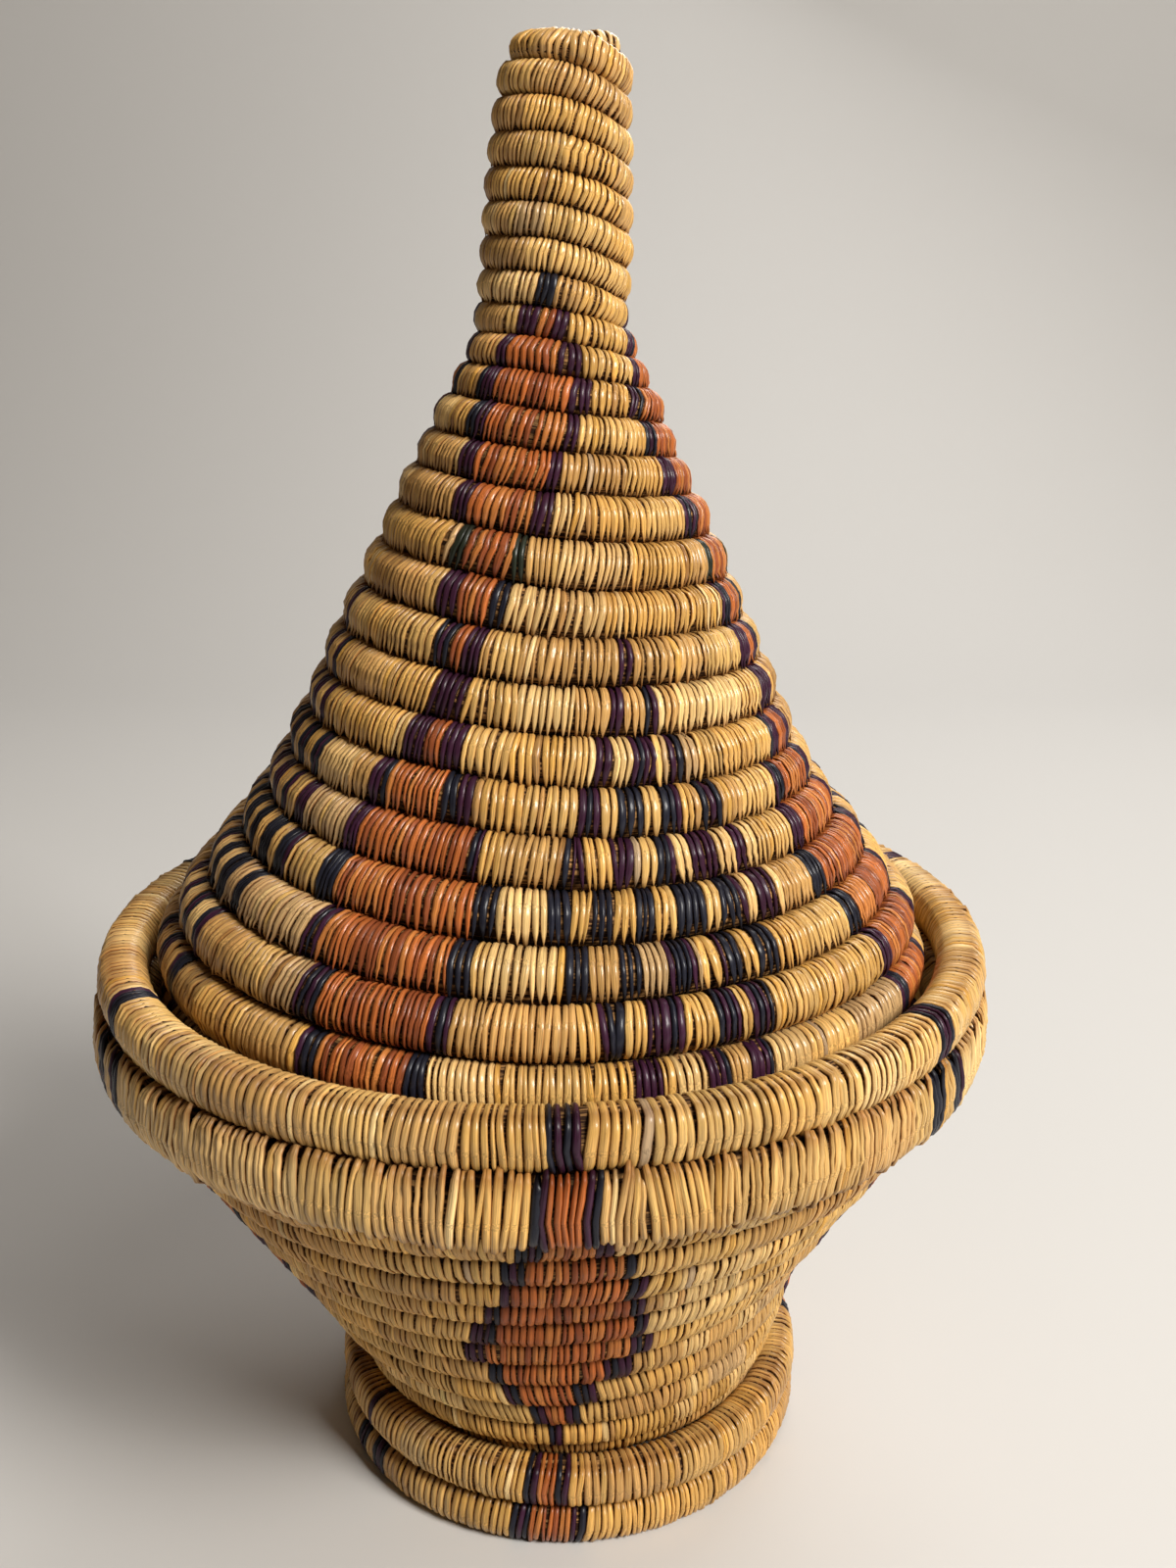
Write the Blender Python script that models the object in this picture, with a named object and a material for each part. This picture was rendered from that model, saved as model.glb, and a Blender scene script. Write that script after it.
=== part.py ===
"""Lidded coiled basket: foot, floor, wall and rim coils, and a lift-off lid coil with a tall spire.

Every coil is a bundle of fibre wound in courses. Metres, +Z up, origin at the centre of the foot's underside.
"""
import math

import bmesh
import bpy
from mathutils import Vector

# Clearances
course_gap = 0.0006             # between one course and the next of the same coil
butt_gap = 0.0003               # between the butted ends of two bundles
seat_gap = 0.0003               # where one coil rests on another
lid_clearance = 0.0012          # around the lid, inside the rim

# Foot: two level courses under the floor
foot_radius = 0.0875            # of the coil's centre line
foot_coil = 0.0160              # thickness of the coil

# Body: one coil from the middle of the floor, round the corner and up the wall
body_coil = 0.0161
floor_coil = 0.0122             # thinner in the floor and at the foot of the wall
body_thickening_shares = (0.3, 0.62)    # shares of the line's length between which it thickens
floor_inset = 0.0110            # how far inside the foot's centre line the floor's line would meet the wall's
corner_radius = 0.0220          # of the bend between floor and wall
wall_height = 0.1505
wall_top_radius = 0.1530
wall_flare = 0.36               # how much flatter the wall leans at its top than at its foot, as a slope
wall_flare_shares = (0.0, 0.65)     # shares of its height between which it flattens

# Rim: two level courses, thicker than the wall
rim_coil = 0.0202
rim_inset = 0.0021              # how far the upper course draws in over the lower one

# Lid: one coil from the tip of the spire down to the seat inside the rim
spire_coil = 0.0101
cone_coil = 0.0168
tip_radius = 0.0194             # of the centre line where the spire's flat top ends
tip_bend_radius = 0.0048
spire_radius = 0.0220           # of the centre line at the neck
spire_height = 0.0884
cone_height = 0.2085
cone_flare = 0.56               # how much flatter the cone leans at the seat than at the neck, as a slope
cone_flare_shares = (0.66, 1.0)     # shares of its height between which it flattens
seat_bend_radius = 0.0350       # where the cone turns down into the seat
seat_depth = 0.0500             # straight band of the lid that sits inside the rim
thickening_share = 0.40         # share of the cone over which the coil thickens
spire_lean = 0.0098             # the tip stands this far to one side, as the spire does on a hand-made lid
foot_lean = 0.0089              # the foot stands this far to the same side of the rim's centre
foot_lean_height = 0.0600       # height above the foot over which the wall comes back to the middle

# Windings
level_step_share = 0.16         # share of a turn in which a level coil steps up to its next course
thin_end_share = 0.2            # a coil's tail stops where it is this share of the coil's thickness
start_thin_share = 0.5          # a wound coil starts this thin at its middle
start_length_share = 1.6        # and is full after this many thicknesses
flat_loss_share = 0.28          # how much the flats draw in, per radian that the profile bends to a neighbour
end_azimuth = math.radians(90)  # where the foot and rim end, at the back, measured from +X
body_end_spokes = -13           # how many spokes of a turn further round the body's coil ends
lid_end_spokes = 6
coarse_radius = 0.034           # inside this radius a turn has fewer points
coarse_points = 16
fine_points = 24
split_points = 8                # bundles are split at multiples of this share of a turn
lid_bundles = 11
body_bundles = 9

# Cross-sections as shares of half the coil's thickness: across the row, along the stack
pressed_shares = ((1.05, 0.0), (0.5, 1.0), (-0.5, 1.0), (-1.05, 0.0), (-0.5, -1.0), (0.5, -1.0))
octagon_share = math.tan(math.pi / 8)
round_shares = tuple((x, y) for x, y in (
    (1.0, octagon_share), (octagon_share, 1.0), (-octagon_share, 1.0), (-1.0, octagon_share),
    (-1.0, -octagon_share), (-octagon_share, -1.0), (octagon_share, -1.0), (1.0, -octagon_share)))

# Finishes: colour, roughness, metallic
straw = ((0.56, 0.38, 0.16), 0.5, 0.0)
golden_straw = ((0.62, 0.41, 0.15), 0.5, 0.0)
pale_straw = ((0.66, 0.48, 0.24), 0.48, 0.0)
profile_step = 0.0005           # spacing of the points along a profile


class Profile:
    """Centre line of a coil in the plane through the axis: (radius, height) points at an even spacing."""

    def __init__(self, points):
        self.points = points
        self.lengths = [0.0]
        for a, b in zip(points, points[1:]):
            self.lengths.append(self.lengths[-1] + math.dist(a, b))
        self.length = self.lengths[-1]

    def at(self, s):
        """Point at arc length s, carried on straight past either end."""
        low, high = 0, len(self.lengths) - 1
        while high - low > 1:
            middle = (low + high) // 2
            if self.lengths[middle] <= s:
                low = middle
            else:
                high = middle
        a, b = self.points[low], self.points[high]
        t = (s - self.lengths[low]) / (self.lengths[high] - self.lengths[low])
        return (a[0] + (b[0] - a[0]) * t, a[1] + (b[1] - a[1]) * t)

    def along(self, s, span):
        """Unit direction of the line at s, taken over a short span."""
        a, b = self.at(s - span / 2), self.at(s + span / 2)
        d = math.dist(a, b)
        return ((b[0] - a[0]) / d, (b[1] - a[1]) / d)

    def bend(self, s, pitch):
        """Greatest angle in radians between the line here and one course away."""
        here = self.along(s, pitch / 4)
        turns = []
        for there in (self.along(s - pitch, pitch / 4), self.along(s + pitch, pitch / 4)):
            turns.append(abs(math.atan2(here[0] * there[1] - here[1] * there[0],
                                        here[0] * there[0] + here[1] * there[1])))
        return max(turns)


def spread(points):
    """The same line with its points at an even spacing."""
    rough = Profile(points)
    count = max(2, round(rough.length / profile_step))
    return [rough.at(rough.length * i / count) for i in range(count + 1)]


def rounded(before, corner, after, radius):
    """Arc that rounds the corner between two straight or gently curved lines."""
    a = Vector(before) - Vector(corner)
    b = Vector(after) - Vector(corner)
    half = a.angle(b) / 2
    reach = radius / math.tan(half)
    a.normalize()
    b.normalize()
    centre = Vector(corner) + (a + b).normalized() * (radius / math.sin(half))
    start, end = Vector(corner) + a * reach, Vector(corner) + b * reach
    first = math.atan2(*(start - centre).yx)
    sweep = (start - centre).angle_signed(end - centre)
    steps = max(4, round(radius * abs(sweep) / profile_step))
    return [tuple(centre + Vector((radius * math.cos(first - sweep * i / steps),
                                   radius * math.sin(first - sweep * i / steps)))) for i in range(steps + 1)]


def flared(low_radius, high_radius, height, flare, flare_shares, start):
    """Points of a flaring wall, whose slope grows by the flare between two shares of its height."""
    steps = max(8, round(abs(height) / profile_step))
    grow_from, grow_to = flare_shares
    grown = [min(1.0, max(0.0, ((i + 0.5) / steps - grow_from) / (grow_to - grow_from))) for i in range(steps)]
    base = (high_radius - low_radius) / abs(height) - flare * sum(grown) / steps
    points = [(low_radius, start)]
    for share in grown:
        r, z = points[-1]
        points.append((r + (base + flare * share) * abs(height) / steps, z + height / steps))
    return points


def body_profile():
    """Floor, corner and wall, with the floor at height zero."""
    floor_radius = foot_radius - floor_inset
    wall = flared(floor_radius, wall_top_radius, wall_height, wall_flare, wall_flare_shares, 0.0)
    heading = wall[round(len(wall) * corner_radius / wall_height / 2)]
    bend = rounded((0.0, 0.0), (floor_radius, 0.0), heading, corner_radius)
    rest = [p for p in wall if p[1] > bend[-1][1] + profile_step]
    return Profile(spread([(0.0, 0.0)] + bend + rest))


def lid_profile():
    """Flat tip, spire, cone and the straight band of the seat, with the seat's end at height zero."""
    seat_radius = rim_centres()[1][0] - rim_coil / 2 - lid_clearance - pressed_shares[0][0] * cone_coil / 2
    neck = seat_depth + cone_height
    tip = neck + spire_height
    bend = rounded((0.0, tip), (tip_radius, tip), (spire_radius, neck), tip_bend_radius)
    cone = flared(spire_radius, seat_radius, -cone_height, cone_flare, cone_flare_shares, neck)
    bottom = rounded(cone[-2], cone[-1], (seat_radius, 0.0), seat_bend_radius)
    cone = [p for p in cone if p[1] > bottom[0][1] + profile_step]
    return Profile(spread([(0.0, tip)] + bend + cone + bottom + [(seat_radius, 0.0)]))


def thin_start(s, full):
    """Thickness of a coil near the middle of its spiral, where the bundle starts thin."""
    return full * min(1.0, start_thin_share + (1 - start_thin_share) * s / (start_length_share * full))


def body_thickness(profile):
    """Thickness of the body's coil at arc length s: thin in the floor, growing up the wall."""
    grow_from, grow_to = (share * profile.length for share in body_thickening_shares)

    def thickness(s):
        t = min(1.0, max(0.0, (s - grow_from) / (grow_to - grow_from)))
        return thin_start(s, floor_coil + (body_coil - floor_coil) * t)
    return thickness


def lid_thickness(profile):
    """Thickness of the lid's coil at arc length s: even in the spire, growing down the cone."""
    neck = next(s for s, p in zip(profile.lengths, profile.points) if p[1] <= seat_depth + cone_height)
    grown = neck + thickening_share * (profile.length - seat_depth - neck)

    def thickness(s):
        t = min(1.0, max(0.0, (s - neck) / (grown - neck)))
        return thin_start(s, spire_coil + (cone_coil - spire_coil) * t)
    return thickness


class WoundCoil:
    """A coil that climbs one course a turn along its profile, and ends in a tail with a level edge.

    Turns are counted back from the end: 0 at the end and negative before it.
    """

    def __init__(self, profile, thickness, end_spokes):
        self.profile, self.shares = profile, pressed_shares
        self.thickness = thickness
        self.turned = end_spokes / fine_points
        self.edge = profile.length
        # Arc length of the centre line at each small share of a turn, from the level edge back
        self.step = 1 / (fine_points * 4)
        s = self.edge - thickness(self.edge) / 2
        self.table = [s]
        while s > (thickness(s) + course_gap) / 2:
            s -= (thickness(s) + course_gap) * self.step
            self.table.append(s)
        self.start = -1 - (len(self.table) - 2) * self.step

    def centre_length(self, turn):
        """Arc length of a full course at this turn; the last full one is at turn -1."""
        place = (-1 - turn) / self.step
        low = min(len(self.table) - 2, max(0, math.floor(place)))
        return self.table[low] + (self.table[low + 1] - self.table[low]) * (place - low)

    def half(self, turn):
        """Half the coil's thickness at a turn."""
        return self.thickness(self.centre_length(turn)) / 2

    def section(self, turn):
        """Centre (radius, height), direction along the stack and half thickness at a turn."""
        if turn <= -1:
            s, half = self.centre_length(turn), self.half(turn)
        else:
            below = self.centre_length(turn - 1) + self.half(turn - 1) + course_gap
            half = (self.edge - below) / 2
            s = self.edge - half
        pitch = self.thickness(s) + course_gap
        flat = 1 - flat_loss_share * self.profile.bend(s, pitch)
        return self.profile.at(s), self.profile.along(s, pitch / 4), half, flat

    def end(self):
        """Last turn at which the tail is still thick enough, on the grid of points."""
        turn = 0.0
        while self.section(turn)[2] < thin_end_share * self.half(-1):
            turn -= 1 / fine_points
        return turn


class LevelCoil:
    """Two level courses that step from one to the next over a short stretch, with tails that fill the step."""

    def __init__(self, low_centre, high_centre, coil):
        self.low, self.high, self.coil = low_centre, high_centre, coil
        self.rise = math.dist(low_centre, high_centre)
        self.shares = round_shares
        self.turned = 0.0
        self.start = self.thick_enough(-2 - level_step_share, 1)

    def climb(self, turn):
        """Height along the stack of a full course: 0 at first, then the step, then the rise."""
        t = min(1.0, max(0.0, (turn + 1 + level_step_share) / level_step_share))
        return self.rise * t * t * (3 - 2 * t)

    def section(self, turn):
        half = self.coil / 2
        if turn < -2:
            half = (self.climb(turn + 1) - course_gap) / 2
            place = half - self.coil / 2
        elif turn > -level_step_share:
            half = (self.rise - self.climb(turn - 1) - course_gap) / 2
            place = self.rise + self.coil / 2 - half
        else:
            place = self.climb(turn)
        t = place / self.rise
        centre = tuple(a + (b - a) * t for a, b in zip(self.low, self.high))
        return centre, (0.0, 1.0), half, 1.0

    def thick_enough(self, turn, direction):
        while self.section(turn)[2] < thin_end_share * self.coil / 2:
            turn += direction / fine_points
        return round(turn * fine_points) / fine_points

    def end(self):
        return self.thick_enough(0.0, -1)


def outline(coil, turn):
    """Points of the coil's cross-section at a turn, as (radius, height)."""
    centre, along, half, flat = coil.section(turn)
    across = (along[1], -along[0])
    return [(centre[0] + half * (x * across[0] + y * flat * along[0]),
             centre[1] + half * (x * across[1] + y * flat * along[1])) for x, y in coil.shares]


def grid(coil):
    """Turns at which a coil's sections stand, all on the same spokes."""
    first, last = math.ceil(coil.start * fine_points), round(coil.end() * fine_points)
    return [i / fine_points for i in range(first, last + 1)]


def sections_by_spoke(coils):
    """Outlines of the coils gathered by spoke, so that neighbours can be compared."""
    spokes = [[] for _ in range(fine_points)]
    for coil in coils:
        for turn in grid(coil):
            spokes[round((turn + coil.turned) * fine_points) % fine_points].append((turn, outline(coil, turn)))
    return spokes


def drop(upper, lower):
    """How far one outline can come straight down before it meets the other."""
    least = math.inf
    for moving, fixed, sign in ((upper, lower, 1), (lower, upper, -1)):
        for r, z in moving:
            for a, b in zip(fixed, fixed[1:] + fixed[:1]):
                if min(a[0], b[0]) <= r <= max(a[0], b[0]) and a[0] != b[0]:
                    hit = a[1] + (b[1] - a[1]) * (r - a[0]) / (b[0] - a[0])
                    least = min(least, sign * (z - hit))
    return least


def rest_height(upper_coils, lower_coils):
    """Lift that sets the upper coils on the lower ones with the seat's gap."""
    high_start = 1.0            # compared from one metre up, where nothing meets
    uppers, lowers = sections_by_spoke(upper_coils), sections_by_spoke(lower_coils)
    least = math.inf
    for ups, lows in zip(uppers, lowers):
        for _, up in ups:
            raised = [(r, z + high_start) for r, z in up]
            for _, low in lows:
                least = min(least, drop(raised, low))
    return high_start - least + seat_gap


def lifted(coil, height):
    """Moves a wound coil's profile up."""
    coil.profile.points = [(r, z + height) for r, z in coil.profile.points]
    return coil


def distance(a, b):
    """Least distance between the outlines of two sections."""
    least = math.inf
    for points, other in ((a, b), (b, a)):
        for p in points:
            for q, r in zip(other, other[1:] + other[:1]):
                edge = Vector(r) - Vector(q)
                t = min(1.0, max(0.0, (Vector(p) - Vector(q)).dot(edge) / edge.length_squared))
                least = min(least, (Vector(p) - Vector(q) - edge * t).length)
    return least


def least_gap(coil):
    """Least gap between a coil's courses, measured on its points."""
    least = math.inf
    for sections in sections_by_spoke([coil]):
        for (_, a), (_, b) in zip(sections, sections[1:]):
            least = min(least, distance(a, b))
    return least


def rim_centres():
    """Centres of the rim's two courses, stacked on the wall's level top edge."""
    profile = body_profile()
    along = profile.along(profile.length - body_coil / 2, body_coil / 2)
    top = profile.at(profile.length)
    reach = course_gap + rim_coil / 2 / math.cos(math.pi / 8)
    low = (top[0] + along[0] * reach, top[1] + along[1] * reach)
    pitch = rim_coil + course_gap
    return low, (low[0] - rim_inset, low[1] + math.sqrt(pitch ** 2 - rim_inset ** 2))


def finish(name, values):
    """Principled material from a colour, a roughness and a metallic value."""
    colour, roughness, metallic = values
    material = bpy.data.materials.new(name)
    material.use_nodes = True
    shader = material.node_tree.nodes["Principled BSDF"]
    shader.inputs["Base Color"].default_value = (*colour, 1.0)
    shader.inputs["Roughness"].default_value = roughness
    shader.inputs["Metallic"].default_value = metallic
    material.diffuse_color = (*colour, 1.0)
    return material


def place(point, turn, lean):
    """World position of a point of a section, a number of turns on from the back."""
    azimuth = end_azimuth + turn * math.tau
    return Vector((point[0] * math.cos(azimuth) + lean(point[1]), point[0] * math.sin(azimuth), point[1]))


def bundle(name, coil, first, last, material, lean, parent=None):
    """One bundle of a coil, from turn to turn, as a closed tube swept round the axis."""
    radius = coil.section((first + last) / 2)[0][0]
    points = coarse_points if radius < coarse_radius else fine_points
    inner = range(math.floor(first * points + 1), math.ceil(last * points))
    turns = [i / points for i in inner]
    for limit, side in ((first, 0), (last, 1)):
        nudge = butt_gap / 2 / (math.tau * max(coil.section(limit)[0][0], coil.coil_at(limit)))
        if side:
            turns.append(limit - nudge)
        else:
            turns.insert(0, limit + nudge)
    mesh = bmesh.new()
    rings = [[mesh.verts.new(place(p, t + coil.turned, lean)) for p in outline(coil, t)] for t in turns]
    sides = len(rings[0])
    for a, b in zip(rings, rings[1:]):
        for i in range(sides):
            j = (i + 1) % sides
            mesh.faces.new((a[i], a[j], b[j], b[i]))
    mesh.faces.new(rings[0][::-1])
    mesh.faces.new(rings[-1])
    bmesh.ops.recalc_face_normals(mesh, faces=mesh.faces)
    data = bpy.data.meshes.new(name)
    mesh.to_mesh(data)
    mesh.free()
    data.materials.append(material)
    data.shade_smooth()
    data.set_sharp_from_angle(angle=math.radians(70))
    item = bpy.data.objects.new(name, data)
    bpy.context.collection.objects.link(item)
    if parent:
        item.parent = parent
        item.matrix_parent_inverse = parent.matrix_world.inverted()
    return item


def even_splits(coil, count):
    """Turns that cut a coil into bundles of about the same length of fibre."""
    steps = grid(coil)
    lengths = [0.0]
    for turn in steps[1:]:
        lengths.append(lengths[-1] + math.tau * coil.section(turn)[0][0] / fine_points)
    splits = [coil.start]
    for i in range(1, count):
        wanted = lengths[-1] * i / count
        turn = next(t for t, length in zip(steps, lengths) if length >= wanted)
        splits.append(round(turn * split_points) / split_points)
    return splits + [coil.end()]


def build():
    for item in list(bpy.data.objects):
        bpy.data.objects.remove(item, do_unlink=True)

    wall_finish, lid_finish, rim_finish = (finish("straw", straw), finish("golden_straw", golden_straw),
                                           finish("pale_straw", pale_straw))
    foot_pitch = foot_coil + course_gap
    foot = LevelCoil((foot_radius, foot_coil / 2), (foot_radius, foot_coil / 2 + foot_pitch), foot_coil)
    profile = body_profile()
    body = WoundCoil(profile, body_thickness(profile), body_end_spokes)
    height = rest_height([body], [foot])
    lifted(body, height)
    low, high = ((r, z + height) for r, z in rim_centres())
    rim = LevelCoil(low, high, rim_coil)
    profile = lid_profile()
    lid = WoundCoil(profile, lid_thickness(profile), lid_end_spokes)
    seat_height = rest_height([lid], [body, rim])
    lifted(lid, seat_height)
    for coil, thickness in ((foot, foot_coil), (body, body_coil), (rim, rim_coil), (lid, cone_coil)):
        coil.coil_at = lambda turn, t=thickness: t / 2

    neck_start, neck_height = seat_height + seat_depth, cone_height + spire_height

    def lid_lean(z):
        t = max(0.0, (z - neck_start) / neck_height)
        return spire_lean * t * t

    def body_lean(z):
        t = min(1.0, max(0.0, (z - 2 * foot_pitch) / foot_lean_height))
        return foot_lean * (1 - t * t * (3 - 2 * t))

    bpy.ops.object.empty_add(location=(0.0, 0.0, seat_height))
    lid_axis = bpy.context.object
    lid_axis.name = "lid_axis"
    bpy.context.view_layer.update()

    bundle("foot_coil", foot, foot.start, foot.end(), rim_finish, body_lean)
    splits = even_splits(body, body_bundles)
    for i, (first, last) in enumerate(zip(splits, splits[1:])):
        bundle(f"body_coil_{i + 1:02d}", body, first, last, wall_finish, body_lean)
    middle = -1.0
    bundle("rim_coil_lower", rim, rim.start, middle, rim_finish, body_lean)
    bundle("rim_coil_upper", rim, middle, rim.end(), rim_finish, body_lean)
    splits = even_splits(lid, lid_bundles)
    for i, (first, last) in enumerate(zip(splits, splits[1:])):
        bundle(f"lid_coil_{i + 1:02d}", lid, first, last, lid_finish, lid_lean, lid_axis)

    for label, coil in (("foot", foot), ("body", body), ("rim", rim), ("lid", lid)):
        print(f"{label}: {coil.end() - coil.start:.2f} turns, least gap {least_gap(coil) * 1000:.2f} mm")
    print(f"lid seat at {seat_height * 1000:.1f} mm, floor at {height * 1000:.1f} mm")


build()
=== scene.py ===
import math

import bpy
import numpy as np
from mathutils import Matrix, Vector


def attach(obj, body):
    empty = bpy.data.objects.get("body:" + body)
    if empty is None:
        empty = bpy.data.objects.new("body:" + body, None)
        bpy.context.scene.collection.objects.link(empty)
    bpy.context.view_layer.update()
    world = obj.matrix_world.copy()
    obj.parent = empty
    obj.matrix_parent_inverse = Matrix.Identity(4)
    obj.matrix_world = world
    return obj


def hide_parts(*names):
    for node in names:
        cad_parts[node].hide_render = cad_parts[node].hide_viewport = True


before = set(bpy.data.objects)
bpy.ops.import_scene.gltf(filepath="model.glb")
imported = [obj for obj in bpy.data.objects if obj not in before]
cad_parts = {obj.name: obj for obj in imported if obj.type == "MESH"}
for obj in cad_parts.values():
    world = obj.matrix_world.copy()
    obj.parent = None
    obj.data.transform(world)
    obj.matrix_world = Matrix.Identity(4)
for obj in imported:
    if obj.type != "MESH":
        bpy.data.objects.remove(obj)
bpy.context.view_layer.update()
print("frame loaded,", len(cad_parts), "nodes")

# Coil sizes in metres, the same as in the part's own source
gaps = {"course": 0.0006, "lidClearance": 0.0012}
foot = {"radius": 0.0875, "coil": 0.0160, "lean": 0.0089, "leanHeight": 0.0600}
body = {"coil": 0.0161, "floorCoil": 0.0122, "thickenShares": (0.3, 0.62), "floorInset": 0.0110,
        "cornerRadius": 0.0220, "height": 0.1505, "topRadius": 0.1530, "flare": 0.36,
        "flareShares": (0.0, 0.65), "floorHeight": 0.026971, "endSpokes": -13}
rim = {"coil": 0.0202, "inset": 0.0021}
lid = {"spireCoil": 0.0101, "coil": 0.0168, "tipRadius": 0.0194, "tipBend": 0.0048, "spireRadius": 0.0220,
       "spireHeight": 0.0884, "coneHeight": 0.2085, "flare": 0.56, "flareShares": (0.66, 1.0),
       "seatBend": 0.0350, "seatDepth": 0.0500, "thickenShare": 0.40, "lean": 0.0098,
       "seatHeight": 0.173810, "endSpokes": 6, "tuck": 0.13, "tuckFrom": 0.468, "tuckHeight": 0.052,
       "tuckPower": 1.5}
winding = {"levelStep": 0.16, "thinEnd": 0.2, "thinRound": 0.06, "startThin": 0.5, "startLength": 1.6,
           "flatLoss": 0.03, "openBend": 0.9, "spokes": 24, "fineSteps": 96, "profileStep": 0.0005,
           "overrun": 0.05, "acrossShare": 1.05, "solidSides": 8, "endAzimuth": math.radians(90)}


# Profiles: the centre line of each coil in the plane through the axis

def makeLine(points):
    points = np.array(points, float)
    s = np.concatenate([[0.0], np.cumsum(np.hypot(*np.diff(points, axis=0).T))])
    far = winding["overrun"]
    first = points[0] + (points[0] - points[1]) / (s[1] - s[0]) * far
    last = points[-1] + (points[-1] - points[-2]) / (s[-1] - s[-2]) * far
    return {"s": np.concatenate([[-far], s, [s[-1] + far]]), "points": np.vstack([first, points, last]),
            "length": s[-1]}


def lineAt(line, s):
    return np.stack([np.interp(s, line["s"], line["points"][:, i]) for i in (0, 1)], axis=-1)


def lineAlong(line, s, span):
    d = lineAt(line, s + span / 2) - lineAt(line, s - span / 2)
    return d / np.linalg.norm(d, axis=-1, keepdims=True)


def lineBend(line, s, pitch):
    here = lineAlong(line, s, pitch / 4)
    turns = []
    for side in (-1, 1):
        there = lineAlong(line, s + side * pitch, pitch / 4)
        crossed = here[:, 0] * there[:, 1] - here[:, 1] * there[:, 0]
        turns.append(np.abs(np.arctan2(crossed, (here * there).sum(axis=1))))
    return np.maximum(*turns)


def spread(points):
    rough = makeLine(points)
    count = max(2, round(rough["length"] / winding["profileStep"]))
    return makeLine(lineAt(rough, np.linspace(0, rough["length"], count + 1)))


def rounded(before, corner, after, radius):
    a, b = Vector(before) - Vector(corner), Vector(after) - Vector(corner)
    half = a.angle(b) / 2
    reach = radius / math.tan(half)
    a.normalize()
    b.normalize()
    centre = Vector(corner) + (a + b).normalized() * (radius / math.sin(half))
    start, end = Vector(corner) + a * reach, Vector(corner) + b * reach
    first = math.atan2(*(start - centre).yx)
    sweep = (start - centre).angle_signed(end - centre)
    steps = max(4, round(radius * abs(sweep) / winding["profileStep"]))
    angles = [first - sweep * i / steps for i in range(steps + 1)]
    return [(centre.x + radius * math.cos(t), centre.y + radius * math.sin(t)) for t in angles]


def flared(lowRadius, highRadius, height, flare, shares, start):
    steps = max(8, round(abs(height) / winding["profileStep"]))
    low, high = shares
    grown = [min(1.0, max(0.0, ((i + 0.5) / steps - low) / (high - low))) for i in range(steps)]
    base = (highRadius - lowRadius) / abs(height) - flare * sum(grown) / steps
    points = [(lowRadius, start)]
    for share in grown:
        r, z = points[-1]
        points.append((r + (base + flare * share) * abs(height) / steps, z + height / steps))
    return points


def bodyLine():
    floorRadius = foot["radius"] - body["floorInset"]
    wall = flared(floorRadius, body["topRadius"], body["height"], body["flare"], body["flareShares"], 0.0)
    heading = wall[round(len(wall) * body["cornerRadius"] / body["height"] / 2)]
    bend = rounded((0.0, 0.0), (floorRadius, 0.0), heading, body["cornerRadius"])
    rest = [p for p in wall if p[1] > bend[-1][1] + winding["profileStep"]]
    return spread([(r, z + body["floorHeight"]) for r, z in [(0.0, 0.0)] + bend + rest])


def rimCentres(line):
    along = lineAlong(line, np.array([line["length"] - body["coil"] / 2]), body["coil"] / 2)[0]
    top = lineAt(line, np.array([line["length"]]))[0]
    low = top + along * (gaps["course"] + rim["coil"] / 2 / math.cos(math.pi / winding["solidSides"]))
    pitch = rim["coil"] + gaps["course"]
    return low, low + np.array([-rim["inset"], math.sqrt(pitch ** 2 - rim["inset"] ** 2)])


def lidLine(rimHigh):
    rimInside = rimHigh[0] - rim["coil"] / 2 - gaps["lidClearance"]
    seatRadius = rimInside - winding["acrossShare"] * lid["coil"] / 2
    neck = lid["seatDepth"] + lid["coneHeight"]
    tip = neck + lid["spireHeight"]
    bend = rounded((0.0, tip), (lid["tipRadius"], tip), (lid["spireRadius"], neck), lid["tipBend"])
    cone = flared(lid["spireRadius"], seatRadius, -lid["coneHeight"], lid["flare"], lid["flareShares"], neck)
    bottom = rounded(cone[-2], cone[-1], (seatRadius, 0.0), lid["seatBend"])
    cone = [p for p in cone if p[1] > bottom[0][1] + winding["profileStep"]]
    points = [(0.0, tip)] + bend + cone + bottom + [(seatRadius, 0.0)]
    return spread([(r, z + lid["seatHeight"]) for r, z in points])


def smooth(t):
    t = np.clip(t, 0, 1)
    return t * t * (3 - 2 * t)


def leanOfLid(z):
    t = np.maximum(0.0, (z - lid["seatHeight"] - lid["seatDepth"]) / (lid["coneHeight"] + lid["spireHeight"]))
    return lid["lean"] * t * t


def leanOfBody(z):
    return foot["lean"] * (1 - smooth((z - 2 * (foot["coil"] + gaps["course"])) / foot["leanHeight"]))


# Windings: each coil as a table over its turns, which count back from 0 at its end

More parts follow.
